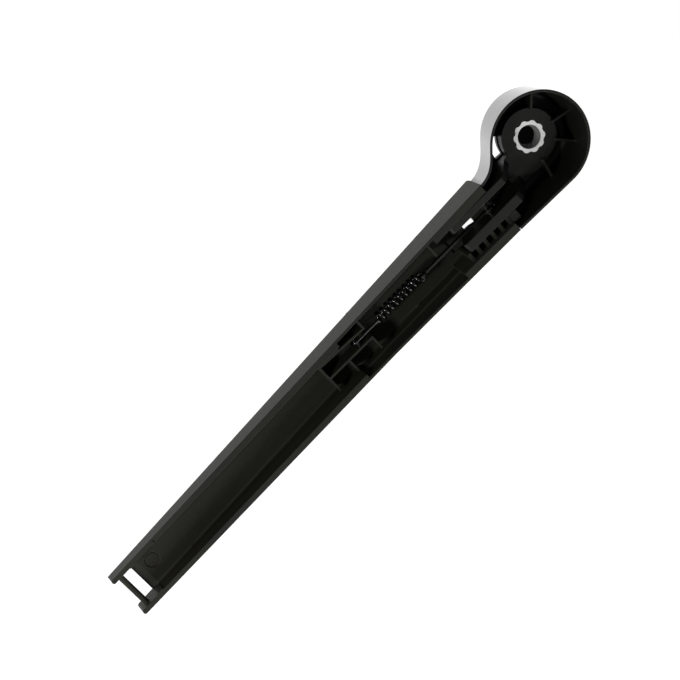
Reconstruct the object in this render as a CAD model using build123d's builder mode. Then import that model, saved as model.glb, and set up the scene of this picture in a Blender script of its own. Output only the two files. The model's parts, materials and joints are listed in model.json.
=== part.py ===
from build123d import *
import os
from math import cos, radians, sin, tan

os.makedirs("parts", exist_ok=True)

# Rear wiper arm in millimetres, underside up: +X runs from the spindle to the blade end,
# +Z along the spindle towards the car. The origin lies on the spindle axis in the bore's land.

# Cuts run past the faces they open by this much
over = 2.0

# Head cup
head_r = 22.4
head_depth = 23.0
head_draft = 5.5
head_wall = 1.15
head_edge_r = 4.0
head_skin = 2.3
neck_start = -47.0
neck_lap = 4.0

# Spindle boss and insert
boss_r = 12.4
insert_len = 5.4
insert_proud = 0.2
insert_core_r = 6.5
insert_tip_r = 7.15
insert_lobe_r = 1.75
insert_lobes = 10
mouth_r = 5.25
bore_r = 4.1
land_len = 2.5

# Nut chamber and its cover on the outer side
chamber_r = 9.4
chamber_depth = 3.6
cover_r = 11.2
cover_seat = 1.2
cover_rise = 3.6
cover_wall = 1.3
cover_skirt = 1.2
cover_gap = 0.1
skirt_gap = 0.4

# Ribs of the cup
cup_rib_t = 1.0
cup_rib_drop = 12.6
cup_rib_turns = (78.0, 130.0, 169.0, 226.0)
block_len = 4.4
block_w = 4.4
block_y = 16.4
block_drop = 3.0
slot_in_r = 12.9
slot_out_r = 16.4
slot_from = -42.0
slot_sweep = 36.0
bridge_x = 18.5

# Arm channel, widths at the rim plane
reach = 256.4
joint_x = 31.0
arm_left_root = -5.6
arm_left_tip = 1.9
arm_right_root = 21.5
arm_right_waist = 20.95
arm_right_tip = 23.35
waist_x = 105.0
arm_depth_root = 19.6
arm_depth_tip = 9.4
arm_draft = 2.5
arm_corner_r = 2.4
arm_inner_r = 1.2
arm_rim_root = 3.8
arm_rim_tip = 2.1
arm_skin = 2.3

# Hinge between head and arm
heel = 15.0
hinge_drop = 12.5
hinge_pin_r = 2.0
hinge_play = 0.05
hinge_floor = 4.5
hub_r = 4.05
lift = 35.0
end_gap = 0.3
side_gap = 0.35
cheek_left_t = 3.0
cheek_right_t = 4.2
cheek_top_drop = 1.5
cheek_tip = 7.0
cheek_root_x = 7.0
cheek_nose = 1.0
cheek_ramp = 2.0
cheek_flat = 8.5
slot_y = 5.75
slot_w = 7.1
pin_proud = 0.4
left_bore = 2.0
hinge_boss_r = 3.6
right_bore = 4.8
pocket_run = 11.0
rung_count = 6
rung_pitch = 4.4
rung_t = 1.6
rung_drop = 3.0

# Pull link
link_back = 11.0
link_rise = 6.0
link_side = 1.2
link_len = 38.8
link_t = 1.0
link_h = 2.0
link_end_r = 2.0
link_eye_r = 2.4
link_pin_r = 1.25
link_play = 0.05
hook_hole_r = 1.1

# Tension spring
spring_side = 0.4
wire_r = 0.65
coil_r = 2.2
coil_pitch = 2.68
coil_turns = 9
coil_start = 2.8
loop_r = 1.9
tail_len = 12.6
tail_bend = 2.6
hook_end = 2.2
hook_play = 0.12
bend_swell = 0.03

# Spring bay and anchor ribs in the arm
bay_start = 61.0
bay_end = 120.0
bay_wall = 1.2
bay_low_wall = 2.0
bay_ledge = 8.5
anchor_pin_r = 1.25
anchor_rib_t = 1.0
anchor_rib_drop = 4.0
anchor_before = 6.5
anchor_after = 19.0
anchor_left = 2.15
anchor_left_run = 1.5
anchor_right = 3.45
anchor_right_run = 0.3
stub_reach = 7.2
mid_rib = 7.7
stop_rib_x = 64.0
stop_rib_drop = 5.0
stop_gap = 1.5
hatch_len = 5.4
hatch_w = 3.4
hatch_y = 9.7
hatch_back = 2.1

# Blade end
lip_back = 13.0
window_back = 9.5
lip_edge = 1.0
lip_lap = 0.2
bar_len = 2.6
bar_back = 3.95
bar_h = 4.0
bar_drop = 4.5
bar_r = 1.2
mark_back = 18.3
mark_y = 11.1
mark_r = 3.5
mark_w = 0.7
mark_deep = 0.3
dimple_back = 24.8
dimple_r = 0.8

# Derived places
boss_drop = head_depth - chamber_depth - insert_len
rim_z = boss_drop + insert_len - land_len / 2
boss_z = rim_z - boss_drop
insert_z = boss_z - insert_len
hinge_x = joint_x + heel
hinge_z = rim_z - hinge_drop
link_x = hinge_x - link_back
link_z = hinge_z + link_rise
loop_x = link_x + link_len
coil_x = loop_x + coil_start
coil_len = coil_turns * coil_pitch
coil_end = coil_x + coil_len
anchor_x = coil_end + tail_len
hook_r = anchor_pin_r + hook_play + wire_r
slope = (head_depth - arm_depth_root) / joint_x
span = reach - joint_x
lap_x = joint_x + neck_lap
left_inner = slot_y - slot_w / 2
left_outer = left_inner - cheek_left_t
right_inner = slot_y + slot_w / 2
right_outer = right_inner + cheek_right_t
link_y = slot_y + link_side
spring_y = slot_y + spring_side
lip_x = reach - lip_back
window_x = reach - window_back
rib_start = anchor_x - anchor_before
rib_end = anchor_x + anchor_after


def along(x, root, tip):
    return root + (tip - root) * (x - joint_x) / span


def arm_left(x):
    return along(x, arm_left_root, arm_left_tip)


def arm_right(x):
    # The right side turns slightly outwards at the waist
    if x < waist_x:
        return arm_right_root + (arm_right_waist - arm_right_root) * (x - joint_x) / (waist_x - joint_x)
    return arm_right_waist + (arm_right_tip - arm_right_waist) * (x - waist_x) / (reach - waist_x)


def arm_depth(x):
    return along(x, arm_depth_root, arm_depth_tip)


def rim_w(x):
    return along(x, arm_rim_root, arm_rim_tip)


def rib_left(x):
    return spring_y - anchor_left - anchor_left_run * (x - rib_start) / (rib_end - rib_start)


def rib_right(x):
    return spring_y + anchor_right - anchor_right_run * (x - rib_start) / (rib_end - rib_start)


def head_outline(plane, inset):
    # Comma-shaped plan of the head: round cup, straight right side, hollow left neck
    r = head_r - inset
    turn = radians(neck_start)
    neck = (r * cos(turn), r * sin(turn))
    corner = (joint_x, arm_left(joint_x) + inset)
    left_end = (lap_x, arm_left(lap_x) + inset)
    right_end = (lap_x, arm_right(joint_x) - inset)
    with BuildSketch(plane) as outline:
        with BuildLine():
            Line(right_end, (0, r))
            ThreePointArc((0, r), (-r, 0), neck)
            Spline(neck, corner, tangents=[(-sin(turn), cos(turn)), (1, 0.033)])
            Line(corner, left_end)
            Line(left_end, right_end)
        make_face()
    return outline.sketch


def arm_form(start, end, wall_root, wall_tip, skin, edge_r):
    # Tapering channel body between two stations, set in from the outside by the wall and the skin
    back = start - over
    front = end + over
    stations = [x for x in (front, waist_x, back) if back <= x <= front]
    left = [(x, arm_left(x) + along(x, wall_root, wall_tip)) for x in (back, front)]
    right = [(x, arm_right(x) - along(x, wall_root, wall_tip)) for x in stations]
    with BuildPart() as form:
        with BuildSketch(rim_plane) as plan:
            with BuildLine():
                Polyline(*left, *right, close=True)
            make_face()
        extrude(amount=-head_depth, taper=arm_draft)
        with BuildSketch(Plane.XZ) as side:
            with BuildLine():
                Polyline(
                    (start, rim_z),
                    (end, rim_z),
                    (end, rim_z - arm_depth(end) + skin),
                    (start, rim_z - arm_depth(start) + skin),
                    close=True,
                )
            make_face()
        extrude(amount=head_r * 2, both=True, mode=Mode.INTERSECT)
        if edge_r > 0:
            floor = form.faces().sort_by(Axis.Z)[0]
            long_edges = [edge for edge in floor.edges() if abs(edge.tangent_at(0.5).X) > 0.9]
            fillet(long_edges, edge_r)
    return form.part


def insert_profile(z):
    # Ring of rounded lobes that keys the metal insert into the boss
    with BuildSketch(Plane.XY.offset(z)) as lobes:
        Circle(insert_core_r)
        with PolarLocations(insert_tip_r - insert_lobe_r, insert_lobes):
            Circle(insert_lobe_r)
    return lobes.sketch


rim_plane = Plane.XY.offset(rim_z)
crown = Plane(origin=(0, 0, rim_z - head_depth), x_dir=(1, 0, slope), z_dir=(-slope, 0, 1))
crown_inner = crown.offset(head_skin)
crown_lean = head_depth * tan(radians(head_draft))

# Head
with BuildPart() as head_form:
    loft(sections=[head_outline(rim_plane, 0), head_outline(crown, crown_lean)])
    crown_edges = head_form.faces().sort_by(Axis.Z)[0].edges().sort_by(Axis.X)[:-1]
    fillet(crown_edges, head_edge_r)

with BuildPart() as head_cavity:
    loft(sections=[head_outline(rim_plane, head_wall), head_outline(crown_inner, crown_lean + head_wall)])
    floor_edges = head_cavity.faces().sort_by(Axis.Z)[0].edges().sort_by(Axis.X)[:-1]
    fillet(floor_edges, head_edge_r - head_wall)

with BuildPart() as head_core:
    with Locations((0, 0, boss_z)):
        Cylinder(boss_r, head_depth, align=(Align.CENTER, Align.CENTER, Align.MAX))
    rib_mid = (boss_r + head_r) / 2
    for rib_turn in cup_rib_turns:
        with Locations((0, 0, rim_z - cup_rib_drop)):
            with PolarLocations(rib_mid, 1, start_angle=rib_turn):
                Box(head_r - boss_r + over, cup_rib_t, head_depth, align=(Align.CENTER, Align.CENTER, Align.MAX))
    with Locations((0, (left_outer + right_outer) / 2, boss_z)):
        Box(bridge_x, right_outer - left_outer, head_depth, align=(Align.MIN, Align.CENTER, Align.MAX))
    with Locations((joint_x, block_y, rim_z - block_drop)):
        Box(block_len, block_w, head_depth, align=(Align.MAX, Align.CENTER, Align.MAX))
    add(head_form.part, mode=Mode.INTERSECT)

with BuildPart() as head_housing:
    add(head_form.part)
    add(head_cavity.part, mode=Mode.SUBTRACT)
    add(head_core.part)
    with BuildSketch(Plane.XZ) as end_cut:
        with Locations((joint_x - end_gap, hinge_z)):
            Rectangle(heel, head_depth, align=(Align.MIN, Align.MIN))
        with Locations((hinge_x, hinge_z)):
            Circle(heel + end_gap)
    extrude(amount=head_r * 2, both=True, mode=Mode.SUBTRACT)
    tilt = radians(lift)
    cheek_end = joint_x - end_gap
    cheek_top = rim_z - cheek_top_drop
    touch = (hinge_x - hub_r * sin(tilt), hinge_z - hub_r * cos(tilt))
    for face_y, cheek_t in ((left_inner, cheek_left_t), (right_outer, cheek_right_t)):
        with BuildSketch(Plane.XZ.offset(-face_y)) as cheek:
            with BuildLine():
                Polyline(
                    (cheek_root_x, rim_z - head_depth + slope * cheek_root_x + head_skin / 2),
                    (cheek_end, rim_z - head_depth + slope * cheek_end + head_skin / 2),
                    (cheek_end, touch[1] + (touch[0] - cheek_end) * tan(tilt)),
                    touch,
                    (hinge_x, hinge_z),
                    (hinge_x + hub_r, hinge_z),
                    (hinge_x + cheek_tip, cheek_top - 2 * cheek_nose),
                    (hinge_x + cheek_tip, cheek_top - cheek_nose),
                    (hinge_x + cheek_tip - cheek_nose, cheek_top),
                    (cheek_end - cheek_flat, cheek_top),
                    (cheek_end - cheek_flat - cheek_ramp, cheek_top - cheek_ramp),
                    (boss_r + cheek_ramp, boss_z),
                    (cheek_root_x, boss_z),
                    close=True,
                )
            make_face()
            with Locations((hinge_x, hinge_z)):
                Circle(hub_r)
        extrude(amount=cheek_t)
    with BuildSketch(Plane.XZ) as cheek_bores:
        with Locations((hinge_x, hinge_z)):
            Circle(hinge_pin_r)
        with Locations((link_x, link_z)):
            Circle(link_pin_r)
    extrude(amount=head_r * 2, both=True, mode=Mode.SUBTRACT)
    with BuildSketch(crown) as chamber:
        Circle(cover_r + cover_gap)
    extrude(amount=cover_seat, mode=Mode.SUBTRACT)
    with Locations((0, 0, insert_z)):
        Cylinder(chamber_r, head_depth, align=(Align.CENTER, Align.CENTER, Align.MAX), mode=Mode.SUBTRACT)
    extrude(insert_profile(boss_z), amount=-insert_len, mode=Mode.SUBTRACT)
    with BuildSketch(Plane.XY.offset(boss_z)) as clip_slot:
        with BuildLine():
            inner = CenterArc((0, 0), slot_in_r, slot_from, slot_sweep)
            outer = CenterArc((0, 0), slot_out_r, slot_from, slot_sweep)
            Line(inner @ 0, outer @ 0)
            Line(inner @ 1, outer @ 1)
        make_face()
    extrude(amount=-head_depth, mode=Mode.SUBTRACT)
head_housing.part.label = "head_housing"
export_step(head_housing.part, "parts/head_housing.step")

# Metal insert with a tapered mouth and a short land
with BuildPart() as spindle_insert:
    extrude(insert_profile(insert_z), amount=insert_len + insert_proud)
    with Locations((0, 0, boss_z + insert_proud)):
        Cone(
            bore_r,
            mouth_r,
            insert_len + insert_proud - land_len,
            align=(Align.CENTER, Align.CENTER, Align.MAX),
            mode=Mode.SUBTRACT,
        )
    Hole(bore_r)
spindle_insert.part.label = "spindle_insert"
export_step(spindle_insert.part, "parts/spindle_insert.step")

# Domed cover that closes the nut chamber
cover_half = Plane(origin=crown.origin, x_dir=crown.x_dir, z_dir=(0, -1, 0))
skirt_r = chamber_r - skirt_gap
with BuildPart() as nut_cover:
    with BuildSketch(cover_half) as cover_section:
        with BuildLine():
            TangentArc((0, -cover_rise), (cover_r, 0), tangent=(1, 0))
            Line((cover_r, 0), (cover_r, cover_seat))
            Line((cover_r, cover_seat), (skirt_r, cover_seat))
            Line((skirt_r, cover_seat), (skirt_r, cover_seat + cover_skirt))
            Line((skirt_r, cover_seat + cover_skirt), (skirt_r - cover_wall, cover_seat + cover_skirt))
            Line((skirt_r - cover_wall, cover_seat + cover_skirt), (skirt_r - cover_wall, 0))
            inner_rise = cover_rise - cover_wall
            TangentArc((0, -inner_rise), (skirt_r - cover_wall, 0), tangent=(1, 0))
            Line((0, -inner_rise), (0, -cover_rise))
        make_face()
    revolve(axis=Axis(crown.origin, crown.z_dir))
nut_cover.part.label = "nut_cover"
export_step(nut_cover.part, "parts/nut_cover.step")

# Arm
with BuildPart() as arm_shell:
    add(arm_form(joint_x, reach, 0, 0, 0, arm_corner_r))
    add(arm_form(joint_x - over, lip_x, arm_rim_root, arm_rim_tip, arm_skin, arm_inner_r), mode=Mode.SUBTRACT)
    add(arm_form(bay_start, bay_end, bay_low_wall, bay_low_wall, arm_skin, arm_inner_r), mode=Mode.SUBTRACT)
    add(arm_form(bay_start, bay_end, bay_wall, bay_wall, bay_ledge, 0), mode=Mode.SUBTRACT)
    pocket_z = hinge_z - hinge_floor
    rung_y = right_outer + side_gap
    rung_len = arm_right(hinge_x) - rim_w(hinge_x) / 2 - rung_y
    with BuildSketch(Plane.XY.offset(rim_z - rung_drop)) as rungs:
        for i in range(rung_count):
            with Locations((joint_x + rung_t / 2 + i * rung_pitch, rung_y)):
                Rectangle(rung_t, rung_len, align=(Align.CENTER, Align.MIN))
    extrude(amount=-(arm_depth(hinge_x) - rung_drop - arm_skin / 2))
    with BuildSketch(Plane.XZ.offset(-rung_y)) as hinge_boss:
        with Locations((hinge_x, hinge_z)):
            Circle(hinge_boss_r)
    extrude(amount=-rung_len)
    with BuildSketch(Plane.XY.offset(pocket_z)) as hinge_pocket:
        with Locations((joint_x - over, left_outer - side_gap)):
            Rectangle(
                heel + pocket_run + over,
                right_outer - left_outer + 2 * side_gap,
                align=(Align.MIN, Align.MIN),
            )
    extrude(amount=head_depth, mode=Mode.SUBTRACT)
    with BuildSketch(Plane.XZ.offset(-(left_outer - side_gap - left_bore))) as hinge_bore:
        with Locations((hinge_x, hinge_z)):
            Circle(hinge_pin_r + hinge_play)
    extrude(amount=-(right_outer - left_outer + 2 * side_gap + left_bore + right_bore), mode=Mode.SUBTRACT)
    with Locations((hinge_x - hatch_back, hatch_y, pocket_z)):
        Box(hatch_len, hatch_w, head_depth, mode=Mode.SUBTRACT)
    with BuildSketch(Plane.XY.offset(rim_z - anchor_rib_drop)) as anchor_ribs:
        half = anchor_rib_t / 2
        for rib_y in (rib_left, rib_right):
            with BuildLine():
                Polyline(
                    (rib_start, rib_y(rib_start) - half),
                    (rib_end, rib_y(rib_end) - half),
                    (rib_end, rib_y(rib_end) + half),
                    (rib_start, rib_y(rib_start) + half),
                    close=True,
                )
            make_face()
        fill_x = bay_end + anchor_rib_t
        with BuildLine():
            Polyline(
                (fill_x, rib_left(fill_x)),
                (fill_x, arm_left(fill_x) + rim_w(fill_x) / 2),
                (rib_end, arm_left(rib_end) + rim_w(rib_end) / 2),
                (rib_end, rib_left(rib_end)),
                close=True,
            )
        make_face()
        with Locations((rib_start, rib_left(rib_start) + half)):
            stub_left = rib_left(rib_start) + half - arm_left(rib_start) - bay_wall / 2
            Rectangle(anchor_rib_t, stub_left, align=(Align.MIN, Align.MAX))
        with Locations((rib_start, rib_right(rib_start) - half)):
            Rectangle(anchor_rib_t, stub_reach, align=(Align.MIN, Align.MIN))
        with Locations((anchor_x + mid_rib, rib_right(anchor_x + mid_rib) - half)):
            Rectangle(anchor_rib_t, stub_reach, align=(Align.CENTER, Align.MIN))
        end_y = arm_left(rib_end) + rim_w(rib_end) / 2
        with Locations((rib_end, end_y)):
            Rectangle(anchor_rib_t, rib_right(rib_end) + stub_reach - end_y, align=(Align.CENTER, Align.MIN))
    extrude(amount=-(arm_depth((rib_start + rib_end) / 2) - anchor_rib_drop - arm_skin / 2))
    with BuildSketch(Plane.XY.offset(rim_z - stop_rib_drop)) as stop_rib:
        with Locations((stop_rib_x, arm_left(stop_rib_x) + bay_wall / 2)):
            stop_reach = link_y - link_t / 2 - stop_gap - arm_left(stop_rib_x) - bay_wall / 2
            Rectangle(anchor_rib_t, stop_reach, align=(Align.CENTER, Align.MIN))
    extrude(amount=-(arm_depth(stop_rib_x) - stop_rib_drop - arm_skin / 2))
    with BuildSketch(Plane.XZ.offset(-rib_left(anchor_x) + half)) as anchor_bore:
        with Locations((anchor_x, link_z)):
            Circle(anchor_pin_r)
    extrude(amount=-(rib_right(anchor_x) - rib_left(anchor_x) + 2 * half), mode=Mode.SUBTRACT)
    with BuildSketch(Plane.XY.offset(rim_z - arm_depth_root)) as window:
        with BuildLine():
            Polyline(
                (window_x, arm_left(window_x) + rim_w(window_x)),
                (reach + over, arm_left(reach + over) + rim_w(reach + over)),
                (reach + over, arm_right(reach + over) - rim_w(reach + over)),
                (window_x, arm_right(window_x) - rim_w(window_x)),
                close=True,
            )
        make_face()
    extrude(amount=arm_depth_root + over, mode=Mode.SUBTRACT)
    lip_lean = arm_depth(lip_x) * tan(radians(arm_draft))
    with BuildSketch(Plane.XZ.offset(-(arm_right(lip_x) - rim_w(lip_x) - lip_lean))) as lip:
        with BuildLine():
            Polyline(
                (lip_x - lip_lap, rim_z + over),
                (window_x + lip_lap, rim_z + over),
                (window_x + lip_lap, rim_z - arm_depth(window_x) + lip_edge),
                (lip_x - lip_lap, rim_z - arm_depth(lip_x) + arm_skin),
                close=True,
            )
        make_face()
    lip_w = arm_right(lip_x) - arm_left(lip_x) - 2 * (rim_w(lip_x) + lip_lean)
    extrude(amount=lip_w, mode=Mode.SUBTRACT)
    with BuildSketch(Plane.XY.offset(rim_z - arm_depth(reach - mark_back) + arm_skin)) as mark:
        with Locations((reach - mark_back, mark_y)):
            Circle(mark_r)
            Circle(mark_r - mark_w, mode=Mode.SUBTRACT)
    extrude(amount=mark_deep, both=True, mode=Mode.SUBTRACT)
    dimple_x = reach - dimple_back
    with BuildSketch(rim_plane) as dimple:
        with Locations((dimple_x, arm_left(dimple_x) + rim_w(dimple_x) / 2)):
            Circle(dimple_r)
    extrude(amount=-mark_deep, mode=Mode.SUBTRACT)
    with BuildSketch(Plane.XY.offset(rim_z - arm_depth_root)) as prong_ends:
        prong_r = rim_w(reach) / 2
        for prong_y in (arm_left(reach) + prong_r, arm_right(reach) - prong_r):
            with Locations((reach - prong_r, prong_y)):
                Rectangle(2 * prong_r, 3 * prong_r, align=(Align.MIN, Align.CENTER))
                Circle(prong_r, mode=Mode.SUBTRACT)
    extrude(amount=arm_depth_root + over, mode=Mode.SUBTRACT)
    bar_x = reach - bar_back
    with BuildSketch(Plane.XZ.offset(-(arm_right(bar_x) - rim_w(bar_x) / 2))) as crossbar:
        with Locations((bar_x, rim_z - bar_drop)):
            RectangleRounded(bar_len, bar_h, bar_r)
    extrude(amount=arm_right(bar_x) - arm_left(bar_x) - rim_w(bar_x))
    with BuildSketch(Plane.XZ) as heel_round:
        with Locations((joint_x, hinge_z)):
            Rectangle(heel, arm_depth_root, align=(Align.MIN, Align.MAX))
        with Locations((hinge_x, hinge_z)):
            Circle(heel, mode=Mode.SUBTRACT)
    extrude(amount=head_r * 2, both=True, mode=Mode.SUBTRACT)
arm_shell.part.label = "arm_shell"
export_step(arm_shell.part, "parts/arm_shell.step")

# Hinge dowels, pressed into the cheeks and turning in the arm's walls
with BuildPart() as hinge_pin_left:
    with BuildSketch(Plane.XZ.offset(-(left_inner + pin_proud))) as dowel_left:
        with Locations((hinge_x, hinge_z)):
            Circle(hinge_pin_r)
    extrude(amount=pin_proud + cheek_left_t + left_bore)
hinge_pin_left.part.label = "hinge_pin_left"
export_step(hinge_pin_left.part, "parts/hinge_pin_left.step")

with BuildPart() as hinge_pin_right:
    with BuildSketch(Plane.XZ.offset(-(right_inner - pin_proud))) as dowel_right:
        with Locations((hinge_x, hinge_z)):
            Circle(hinge_pin_r)
    extrude(amount=-(pin_proud + cheek_right_t + right_bore))
hinge_pin_right.part.label = "hinge_pin_right"
export_step(hinge_pin_right.part, "parts/hinge_pin_right.step")

# Pull link and the pin it turns on
with BuildPart() as link_pin:
    with BuildSketch(Plane.XZ.offset(-right_outer)) as link_dowel:
        with Locations((link_x, link_z)):
            Circle(link_pin_r)
    extrude(amount=right_outer - left_outer)
link_pin.part.label = "link_pin"
export_step(link_pin.part, "parts/link_pin.step")

with BuildPart() as pull_link:
    with BuildSketch(Plane.XZ.offset(-link_y)) as link_face:
        with Locations((link_x, link_z)):
            Circle(link_eye_r)
        with Locations((loop_x, link_z)):
            Circle(link_end_r)
        with Locations((link_x, link_z)):
            Rectangle(link_len, link_h, align=(Align.MIN, Align.CENTER))
        with Locations((link_x, link_z)):
            Circle(link_pin_r + link_play, mode=Mode.SUBTRACT)
        with Locations((loop_x, link_z)):
            Circle(hook_hole_r, mode=Mode.SUBTRACT)
    extrude(amount=link_t / 2, both=True)
pull_link.part.label = "pull_link"
export_step(pull_link.part, "parts/pull_link.step")

# Tension spring: coil, loop through the link and long hook on the anchor pin
with BuildPart() as tension_spring:
    with BuildLine() as coil:
        Helix(coil_pitch, coil_len, coil_r, center=(coil_x, spring_y, link_z), direction=(1, 0, 0))
    with BuildSketch(Plane(origin=coil.line @ 0, z_dir=coil.line % 0)):
        Circle(wire_r)
    sweep(path=coil.line, is_frenet=True)
    with Locations(coil.line @ 0, coil.line @ 1):
        Sphere(wire_r + bend_swell)
    loop_in = (loop_x + loop_r, link_y + loop_r, link_z)
    loop_out = (loop_x + loop_r, link_y - loop_r, link_z)
    with BuildLine() as loop:
        ThreePointArc(loop_out, (loop_x, link_y, link_z), loop_in)
    with BuildSketch(Plane(origin=loop.line @ 0, z_dir=loop.line % 0)):
        Circle(wire_r)
    sweep(path=loop.line)
    with Locations(loop_in):
        Sphere(wire_r + bend_swell)
    with BuildLine() as lead:
        Line(loop_in, coil.line @ 0)
    with BuildSketch(Plane(origin=lead.line @ 0, z_dir=lead.line % 0)):
        Circle(wire_r)
    sweep(path=lead.line)
    bend = (coil_end + tail_bend, spring_y, link_z + hook_r)
    turn_in = (anchor_x, spring_y, link_z + hook_r)
    turn_out = (anchor_x, spring_y, link_z - hook_r)
    with BuildLine() as drop_wire:
        Line(coil.line @ 1, bend)
    with BuildSketch(Plane(origin=drop_wire.line @ 0, z_dir=drop_wire.line % 0)):
        Circle(wire_r)
    sweep(path=drop_wire.line)
    with Locations(bend):
        Sphere(wire_r + bend_swell)
    with BuildLine() as tail:
        Line(bend, turn_in)
        ThreePointArc(turn_in, (anchor_x + hook_r, spring_y, link_z), turn_out)
        Line(turn_out, (anchor_x - hook_end, spring_y, link_z - hook_r))
    with BuildSketch(Plane(origin=tail.line @ 0, z_dir=tail.line % 0)):
        Circle(wire_r)
    sweep(path=tail.line)
tension_spring.part.label = "tension_spring"
export_step(tension_spring.part, "parts/tension_spring.step")

# Pin between the anchor ribs
with BuildPart() as anchor_pin:
    with BuildSketch(Plane.XZ.offset(-(rib_left(anchor_x) - anchor_rib_t / 2))) as anchor_dowel:
        with Locations((anchor_x, link_z)):
            Circle(anchor_pin_r)
    extrude(amount=-(rib_right(anchor_x) - rib_left(anchor_x) + anchor_rib_t))
anchor_pin.part.label = "anchor_pin"
export_step(anchor_pin.part, "parts/anchor_pin.step")
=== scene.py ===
import json
from math import radians, sin

import bpy
from mathutils import Matrix, Vector


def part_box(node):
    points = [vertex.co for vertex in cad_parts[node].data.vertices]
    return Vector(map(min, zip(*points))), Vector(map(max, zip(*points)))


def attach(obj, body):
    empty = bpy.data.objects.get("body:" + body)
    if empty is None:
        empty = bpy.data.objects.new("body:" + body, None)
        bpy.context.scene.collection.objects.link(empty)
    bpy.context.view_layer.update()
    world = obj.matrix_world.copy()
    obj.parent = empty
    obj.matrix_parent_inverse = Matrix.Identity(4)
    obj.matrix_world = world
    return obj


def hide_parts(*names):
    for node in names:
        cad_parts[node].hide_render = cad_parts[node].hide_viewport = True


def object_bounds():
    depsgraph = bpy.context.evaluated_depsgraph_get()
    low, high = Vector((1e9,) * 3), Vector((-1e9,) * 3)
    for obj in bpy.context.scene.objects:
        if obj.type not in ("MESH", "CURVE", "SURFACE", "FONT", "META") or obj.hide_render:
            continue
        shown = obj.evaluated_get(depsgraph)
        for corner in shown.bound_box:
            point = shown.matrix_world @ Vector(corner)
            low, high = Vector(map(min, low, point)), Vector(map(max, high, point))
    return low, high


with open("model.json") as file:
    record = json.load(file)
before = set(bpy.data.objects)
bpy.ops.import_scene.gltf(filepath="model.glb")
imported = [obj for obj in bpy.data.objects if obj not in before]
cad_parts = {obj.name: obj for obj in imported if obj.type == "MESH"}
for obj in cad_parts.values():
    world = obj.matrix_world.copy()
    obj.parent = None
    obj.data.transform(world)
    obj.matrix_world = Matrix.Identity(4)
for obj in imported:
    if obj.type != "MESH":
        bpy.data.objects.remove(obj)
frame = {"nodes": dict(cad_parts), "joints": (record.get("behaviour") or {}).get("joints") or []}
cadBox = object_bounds()
nodes = frame["nodes"]
print("frame loaded:", len(nodes), "CAD nodes")


# small helpers for node materials
def newMaterial(name):
    mat = bpy.data.materials.new(name)
    mat.use_nodes = True
    tree = mat.node_tree
    shader = tree.nodes["Principled BSDF"]
    coords = tree.nodes.new("ShaderNodeTexCoord")
    return mat, tree, shader, coords


def noiseOn(tree, place, scale, detail, roughness=0.55):
    noise = tree.nodes.new("ShaderNodeTexNoise")
    noise.inputs["Scale"].default_value = scale
    noise.inputs["Detail"].default_value = detail
    noise.inputs["Roughness"].default_value = roughness
    tree.links.new(place, noise.inputs["Vector"])
    return noise.outputs["Fac"]


def spread(tree, source, span, toMin, toMax):
    # what lies between the two values of the span is spread from toMin to toMax
    ramp = tree.nodes.new("ShaderNodeMapRange")
    ramp.inputs["From Min"].default_value = span[0]
    ramp.inputs["From Max"].default_value = span[1]
    ramp.inputs["To Min"].default_value = toMin
    ramp.inputs["To Max"].default_value = toMax
    tree.links.new(source, ramp.inputs["Value"])
    return ramp.outputs["Result"]


def combine(tree, operation, one, two):
    sums = tree.nodes.new("ShaderNodeMath")
    sums.operation = operation
    tree.links.new(one, sums.inputs[0])
    tree.links.new(two, sums.inputs[1])
    return sums.outputs[0]


def fromAxis(tree, coords):
    # the way out from the spindle axis to a point, and how far that is
    flat = tree.nodes.new("ShaderNodeVectorMath")
    flat.operation = "MULTIPLY"
    flat.inputs[1].default_value = (1, 1, 0)
    tree.links.new(coords.outputs["Object"], flat.inputs[0])
    radius = tree.nodes.new("ShaderNodeVectorMath")
    radius.operation = "LENGTH"
    tree.links.new(flat.outputs["Vector"], radius.inputs[0])
    return flat.outputs["Vector"], radius.outputs["Value"]


def tintBetween(tree, factor, dark, light):
    mix = tree.nodes.new("ShaderNodeMix")
    mix.data_type = "RGBA"
    mix.inputs["A"].default_value = (*dark, 1)
    mix.inputs["B"].default_value = (*light, 1)
    tree.links.new(factor, mix.inputs["Factor"])
    return mix.outputs["Result"]


def grainBump(tree, height, strength, distance, under=None):
    bump = tree.nodes.new("ShaderNodeBump")
    bump.inputs["Strength"].default_value = strength
    bump.inputs["Distance"].default_value = distance
    tree.links.new(height, bump.inputs["Height"])
    if under is not None:
        tree.links.new(under, bump.inputs["Normal"])
    return bump.outputs["Normal"]


# moulded black plastic: spark-eroded grain, faint flow streaks, softly broken edges
armPlastic = {
    "dark": (0.0116, 0.0115, 0.0080),
    "light": (0.0196, 0.0193, 0.0140),
    "roughMin": 0.44,
    "roughMax": 0.58,
    "gloss": 0.20,
    "grainScale": 2600.0,                # grains per metre of the object
    "grainDetail": 3.0,
    "grainMix": 0.6,
    "grainSpan": (0.3, 0.7),             # part of the noise that is used
    "grainStrength": 0.35,
    "grainDepth": 0.00003,
    "streakScale": 90.0,
    "streakDetail": 4.0,
    "streakStretch": (0.15, 1.0, 1.0),   # streaks run along the arm
    "streakSpan": (0.35, 0.65),
    "edge": 0.00035,                     # how far the edge softening reaches
    "edgeSamples": 6,
    "lacquered": False,
}

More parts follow.
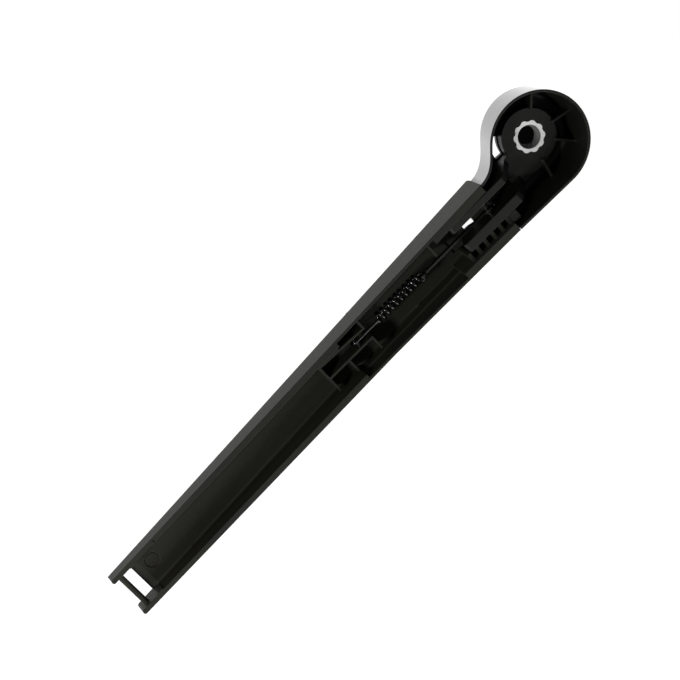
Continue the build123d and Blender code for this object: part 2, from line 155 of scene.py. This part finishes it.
# the head is the same plastic, polished and lacquered on its outside only
headPlastic = dict(
    armPlastic,
    dark=(0.0026, 0.0026, 0.0018),
    light=(0.0044, 0.0044, 0.0030),
    gloss=0.36,
    roughMin=0.38,
    roughMax=0.52,
    grainDepth=0.000015,
    lacquered=True,
    lacquerIor=1.6,
    lacquerRough=0.06,
    shine=0.14,                          # roughness of the polished plastic under the lacquer
    shellSpan=(0.017, 0.018),            # the outside begins this far from the spindle axis
    facingSpan=(0.1, 0.35),              # how squarely a face has to look away from the axis
    endSpan=(0.80, 0.92),                # faces that look along the arm are ends, not outside
    crownSpan=(-0.35, -0.10),            # faces that look down belong to the crown
)

# satin cap on the outer side
coverPlastic = dict(
    armPlastic,
    roughMin=0.28,
    roughMax=0.38,
    grainScale=3200.0,
    grainDepth=0.00002,
)


def outsideMask(tree, coords, look):
    # 1 on the shell's faces that look away from the spindle axis or down, 0 on the hollow side
    wayOut, radius = fromAxis(tree, coords)
    away = tree.nodes.new("ShaderNodeVectorMath")
    away.operation = "NORMALIZE"
    tree.links.new(wayOut, away.inputs[0])
    facing = tree.nodes.new("ShaderNodeVectorMath")
    facing.operation = "DOT_PRODUCT"
    tree.links.new(away.outputs["Vector"], facing.inputs[0])
    tree.links.new(coords.outputs["Normal"], facing.inputs[1])
    parts = tree.nodes.new("ShaderNodeSeparateXYZ")
    tree.links.new(coords.outputs["Normal"], parts.inputs["Vector"])
    looksOut = spread(tree, facing.outputs["Value"], look["facingSpan"], 0, 1)
    onShell = spread(tree, radius, look["shellSpan"], 0, 1)
    noEnd = spread(tree, parts.outputs["X"], look["endSpan"], 1, 0)
    onCrown = spread(tree, parts.outputs["Z"], look["crownSpan"], 1, 0)
    outward = combine(tree, "MULTIPLY", looksOut, onShell)
    sides = combine(tree, "MULTIPLY", outward, noEnd)
    return combine(tree, "MAXIMUM", sides, onCrown)


def makeBlackPlastic(name, look):
    mat, tree, shader, coords = newMaterial(name)
    place = coords.outputs["Object"]
    grain = noiseOn(tree, place, look["grainScale"], look["grainDetail"], look["grainMix"])
    stretch = tree.nodes.new("ShaderNodeMapping")
    stretch.inputs["Scale"].default_value = look["streakStretch"]
    tree.links.new(place, stretch.inputs["Vector"])
    streaks = noiseOn(tree, stretch.outputs["Vector"], look["streakScale"], look["streakDetail"])
    streaked = spread(tree, streaks, look["streakSpan"], 0, 1)
    tone = tintBetween(tree, streaked, look["dark"], look["light"])
    tree.links.new(tone, shader.inputs["Base Color"])
    rough = spread(tree, grain, look["grainSpan"], look["roughMin"], look["roughMax"])
    if look["lacquered"]:
        outside = outsideMask(tree, coords, look)
        polish = tree.nodes.new("ShaderNodeMix")
        polish.inputs["B"].default_value = look["shine"]
        tree.links.new(outside, polish.inputs["Factor"])
        tree.links.new(rough, polish.inputs["A"])
        rough = polish.outputs["Result"]
        tree.links.new(outside, shader.inputs["Coat Weight"])
        shader.inputs["Coat Roughness"].default_value = look["lacquerRough"]
        shader.inputs["Coat IOR"].default_value = look["lacquerIor"]
    tree.links.new(rough, shader.inputs["Roughness"])
    edge = tree.nodes.new("ShaderNodeBevel")
    edge.samples = look["edgeSamples"]
    edge.inputs["Radius"].default_value = look["edge"]
    grained = grainBump(
        tree, grain, look["grainStrength"], look["grainDepth"], edge.outputs["Normal"]
    )
    tree.links.new(grained, shader.inputs["Normal"])
    shader.inputs["Specular IOR Level"].default_value = look["gloss"]
    return mat


# turned and bright plated bush
brightInsert = {
    "dark": (0.88, 0.88, 0.88),
    "light": (0.97, 0.97, 0.96),
    "roughMin": 0.68,
    "roughMax": 0.84,
    "ringScale": 900.0,                  # turning marks
    "ringBend": 0.6,
    "ringDetail": 2.0,
    "ringStrength": 0.25,
    "ringDepth": 0.00002,
    "smearScale": 350.0,
    "smearDetail": 4.0,
    "smearSpan": (0.3, 0.7),
    "bore": (0.27, 0.265, 0.26),         # painted shade darkening the inside of the tapered mouth
    "boreSpan": (0.00502, 0.00522),      # the painted shade ends at the mouth's edge
}


def makeBrightInsert(name, look):
    mat, tree, shader, coords = newMaterial(name)
    place = coords.outputs["Object"]
    rings = tree.nodes.new("ShaderNodeTexWave")
    rings.wave_type = "RINGS"
    rings.rings_direction = "Z"
    rings.inputs["Scale"].default_value = look["ringScale"]
    rings.inputs["Distortion"].default_value = look["ringBend"]
    rings.inputs["Detail"].default_value = look["ringDetail"]
    tree.links.new(place, rings.inputs["Vector"])
    smear = noiseOn(tree, place, look["smearScale"], look["smearDetail"])
    smeared = spread(tree, smear, look["smearSpan"], 0, 1)
    bright = tintBetween(tree, smeared, look["dark"], look["light"])
    radius = fromAxis(tree, coords)[1]
    # painted shade: inside the mouth the bush gets a darker colour than its plated face
    tone = tree.nodes.new("ShaderNodeMix")
    tone.data_type = "RGBA"
    tone.inputs["A"].default_value = (*look["bore"], 1)
    tree.links.new(spread(tree, radius, look["boreSpan"], 0, 1), tone.inputs["Factor"])
    tree.links.new(bright, tone.inputs["B"])
    tree.links.new(tone.outputs["Result"], shader.inputs["Base Color"])
    rough = spread(tree, smear, look["smearSpan"], look["roughMax"], look["roughMin"])
    tree.links.new(rough, shader.inputs["Roughness"])
    turned = grainBump(tree, rings.outputs["Fac"], look["ringStrength"], look["ringDepth"])
    tree.links.new(turned, shader.inputs["Normal"])
    shader.inputs["Metallic"].default_value = 1.0
    return mat


# blackened steel for pins, link and spring, each with its own tone
pinSteel = {
    "dark": (0.03, 0.03, 0.029),
    "light": (0.06, 0.06, 0.058),
    "roughMin": 0.24,
    "roughMax": 0.40,
    "scale": 700.0,                      # mottles per metre of the object
    "mottleDetail": 5.0,
    "mottleMix": 0.6,
    "mottleSpan": (0.32, 0.68),
    "roughSpan": (0.3, 0.7),
    "fineTimes": 8,                      # how much finer the drawing marks are
    "fineDetail": 2.0,
    "fineStrength": 0.2,
    "fineDepth": 0.00001,
}
linkSteel = dict(
    pinSteel,
    dark=(0.028, 0.028, 0.026),
    light=(0.055, 0.055, 0.052),
    roughMin=0.34,
    roughMax=0.50,
    scale=420.0,
)
springSteel = dict(
    pinSteel,
    dark=(0.04, 0.04, 0.04),
    light=(0.08, 0.08, 0.08),
    roughMin=0.16,
    roughMax=0.26,
    scale=800.0,
)


def makeDrawnSteel(name, look):
    mat, tree, shader, coords = newMaterial(name)
    place = coords.outputs["Object"]
    mottle = noiseOn(tree, place, look["scale"], look["mottleDetail"], look["mottleMix"])
    fine = noiseOn(tree, place, look["scale"] * look["fineTimes"], look["fineDetail"])
    mottled = spread(tree, mottle, look["mottleSpan"], 0, 1)
    tone = tintBetween(tree, mottled, look["dark"], look["light"])
    tree.links.new(tone, shader.inputs["Base Color"])
    rough = spread(tree, mottle, look["roughSpan"], look["roughMax"], look["roughMin"])
    tree.links.new(rough, shader.inputs["Roughness"])
    drawn = grainBump(tree, fine, look["fineStrength"], look["fineDepth"])
    tree.links.new(drawn, shader.inputs["Normal"])
    shader.inputs["Metallic"].default_value = 1.0
    return mat


finishes = {
    "head_housing": makeBlackPlastic("headPlastic", headPlastic),
    "arm_shell": makeBlackPlastic("armPlastic", armPlastic),
    "nut_cover": makeBlackPlastic("capPlastic", coverPlastic),
    "spindle_insert": makeBrightInsert("turnedBush", brightInsert),
    "hinge_pin_left": makeDrawnSteel("dowelSteel", pinSteel),
    "pull_link": makeDrawnSteel("stripSteel", linkSteel),
    "tension_spring": makeDrawnSteel("springWire", springSteel),
}
for other in ("hinge_pin_right", "link_pin", "anchor_pin"):
    finishes[other] = finishes["hinge_pin_left"]
for name, finish in finishes.items():
    mesh = nodes[name].data
    mesh.materials.clear()
    mesh.materials.append(finish)
print("finishes set on", len(finishes), "nodes")


mergeGap = 0.000001                      # points nearer than this are one


def mergedCopy(name, nodeName):
    # a copy of a CAD node, merged, left in edit mode with all of it selected
    piece = bpy.data.objects.new(name, nodes[nodeName].data.copy())
    bpy.context.collection.objects.link(piece)
    bpy.ops.object.select_all(action="DESELECT")
    piece.select_set(True)
    bpy.context.view_layer.objects.active = piece
    bpy.ops.object.mode_set(mode="EDIT")
    bpy.ops.mesh.select_all(action="SELECT")
    bpy.ops.mesh.remove_doubles(threshold=mergeGap)
    return piece


# the spring is shown in two pieces, so that its hook stays on the anchor pin as the arm lifts and
# the wire draws out between them by what the real spring stretches
springSplit = {
    "wireR": 0.00065,
    "tailCut": 0.0026,                   # from the pin back to the cut, clear of the hook's free leg
    "seam": 0.0003,                      # from the pin back to where tail and hook meet
    "coreR": 0.0005,                     # thin end of the hook, hidden in the tail at rest
    "coreSides": 20,
    "coreLength": 0.0024,
    "coreRoot": 0.00025,                 # how deep it is set into the hook
    "coreDrop": 0.00014,                 # off the tail's middle, to stay inside it as the hook turns
}
pinLow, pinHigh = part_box("anchor_pin")
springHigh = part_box("tension_spring")[1]
pinX = (pinLow[0] + pinHigh[0]) / 2
pinZ = (pinLow[2] + pinHigh[2]) / 2
hookR = springHigh[0] - pinX - springSplit["wireR"]
cutX = pinX - springSplit["tailCut"]
seamX = pinX - springSplit["seam"]


def cutSpring(name, keepHook):
    # the solid spring, cut across its tail, with the cut end moved to the seam
    piece = mergedCopy(name, "tension_spring")
    bpy.ops.mesh.bisect(
        plane_co=(cutX, 0, 0),
        plane_no=(1, 0, 0),
        use_fill=True,
        clear_inner=keepHook,
        clear_outer=not keepHook,
    )
    bpy.ops.transform.translate(value=(seamX - cutX, 0, 0))
    bpy.ops.mesh.mark_sharp()
    bpy.ops.object.mode_set(mode="OBJECT")
    bpy.ops.object.shade_smooth()
    return piece


springCoil = cutSpring("springCoil", False)
springHook = cutSpring("springHook", True)
hookCorners = springHook.bound_box
tailY = sum(corner[1] for corner in hookCorners) / len(hookCorners)
coreX = seamX + springSplit["coreRoot"] - springSplit["coreLength"] / 2
coreZ = pinZ + hookR - springSplit["coreDrop"]
bpy.ops.object.mode_set(mode="EDIT")
bpy.ops.mesh.primitive_cylinder_add(
    vertices=springSplit["coreSides"],
    radius=springSplit["coreR"],
    depth=springSplit["coreLength"],
    location=(coreX, tailY, coreZ),
    rotation=(0, radians(90), 0),
)
bpy.ops.object.mode_set(mode="OBJECT")
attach(springCoil, "link")
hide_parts("tension_spring")
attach(springHook, "arm")
print("spring split at", round(seamX, 5), "hook radius", round(hookR, 5))

# the arm is shown with the foot of its stop rib pressed flush with the rounded edge of the crown
ribFoot = {
    "low": (0.0633, -0.00395, 0.00115),  # box round the foot's two corners
    "high": (0.0647, -0.00385, 0.00124),
    "move": (0, 0.00008, 0.00074),
}
armBody = mergedCopy("armBody", "arm_shell")
bpy.ops.mesh.select_all(action="DESELECT")
bpy.ops.object.mode_set(mode="OBJECT")
pressed = 0
for corner in armBody.data.vertices:
    spans = zip(ribFoot["low"], corner.co, ribFoot["high"])
    corner.select = all(low < at < high for low, at, high in spans)
    pressed += corner.select
bpy.ops.object.mode_set(mode="EDIT")
bpy.ops.transform.translate(value=ribFoot["move"])
bpy.ops.object.mode_set(mode="OBJECT")
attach(armBody, "arm")
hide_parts("arm_shell")
print("rib foot pressed in at", pressed, "corners")

# white table, low enough for the lifted arm to clear it, with only a faint shadow
table = {
    "size": 40.0,
    "middleX": 0.12,
    "glow": 0.9,
    "cloth": 0.22,
    "rough": 0.9,
}
lift = next(joint for joint in frame["joints"] if joint["name"] == "arm_lift")
liftReach = cadBox[1][0] - lift["pos_m"][0]
tableZ = cadBox[0][2] - liftReach * sin(radians(lift["range_deg"][1]))
bpy.ops.object.select_all(action="DESELECT")
bpy.ops.mesh.primitive_plane_add(size=table["size"], location=(0, 0, 0))
tableTop = bpy.context.object
tableTop.name = "tableTop"
tableTop.data.transform(Matrix.Translation((table["middleX"], 0, tableZ)))
paper, tree, shader, coords = newMaterial("whitePaper")
shader.inputs["Base Color"].default_value = (table["cloth"],) * 3 + (1,)
shader.inputs["Roughness"].default_value = table["rough"]
shader.inputs["Specular IOR Level"].default_value = 0.0
path = tree.nodes.new("ShaderNodeLightPath")
seen = combine(tree, "MAXIMUM", path.outputs["Is Camera Ray"], path.outputs["Is Glossy Ray"])
seen = combine(tree, "MAXIMUM", seen, path.outputs["Is Transmission Ray"])
glow = spread(tree, seen, (0, 1), 0, table["glow"])
shader.inputs["Emission Color"].default_value = (1, 1, 1, 1)
tree.links.new(glow, shader.inputs["Emission Strength"])
tableTop.data.materials.append(paper)
print("table laid at", round(tableZ, 4))

# soft studio light: a wide low box beside the arm, a small box beyond its tip, and a dim ceiling
studio = {
    "ceiling": 0.10,
    "horizon": 0.34,
    "skySpan": (0.15, 0.86),             # height of the sky where horizon ends and ceiling begins
    "aim": (0.12, 0.008, 0.005),
    "lamps": [
        {"name": "sideBox", "at": (0.30, 1.25, 0.66), "size": 1.6, "power": 19.0},
        {"name": "tipBox", "at": (1.10, -0.35, 0.90), "size": 0.18, "power": 13.0},
    ],
}
world = bpy.data.worlds.new("studioSky")
bpy.context.scene.world = world
world.use_nodes = True
sky = world.node_tree
backdrop = sky.nodes["Background"]
direction = sky.nodes.new("ShaderNodeTexCoord")
height = sky.nodes.new("ShaderNodeSeparateXYZ")
sky.links.new(direction.outputs["Generated"], height.inputs["Vector"])
level = spread(sky, height.outputs["Z"], studio["skySpan"], studio["horizon"], studio["ceiling"])
backdrop.inputs["Color"].default_value = (1, 1, 1, 1)
sky.links.new(level, backdrop.inputs["Strength"])
for lamp in studio["lamps"]:
    bpy.ops.object.light_add(type="AREA", location=lamp["at"])
    box = bpy.context.object
    box.name = lamp["name"]
    box.data.shape = "SQUARE"
    box.data.size = lamp["size"]
    box.data.energy = lamp["power"]
    ray = Vector(studio["aim"]) - Vector(lamp["at"])
    box.rotation_euler = ray.to_track_quat("-Z", "Y").to_euler()
print("lamps lit:", len(studio["lamps"]))

# the photograph's view, looking down into the hollow side
shot = {
    "at": (0.18327, -0.50466, 1.31886),
    "aim": (0.11803, -0.00145, 0.01812),
    "roll": 127.86,
    "lens": 177.4,
    "sensor": 36.0,
    "farthest": 20.0,
}
bpy.ops.object.camera_add(location=shot["at"])
camera = bpy.context.object
camera.name = "photoView"
gaze = Vector(shot["aim"]) - Vector(shot["at"])
turned = gaze.to_track_quat("-Z", "Y").to_matrix().to_4x4()
rolled = Matrix.Rotation(radians(shot["roll"]), 4, "Z")
camera.matrix_world = Matrix.Translation(shot["at"]) @ turned @ rolled
camera.data.lens = shot["lens"]
camera.data.sensor_width = shot["sensor"]
camera.data.clip_end = shot["farthest"]
bpy.context.scene.camera = camera
bpy.context.scene.view_settings.view_transform = "Standard"
print("camera set")
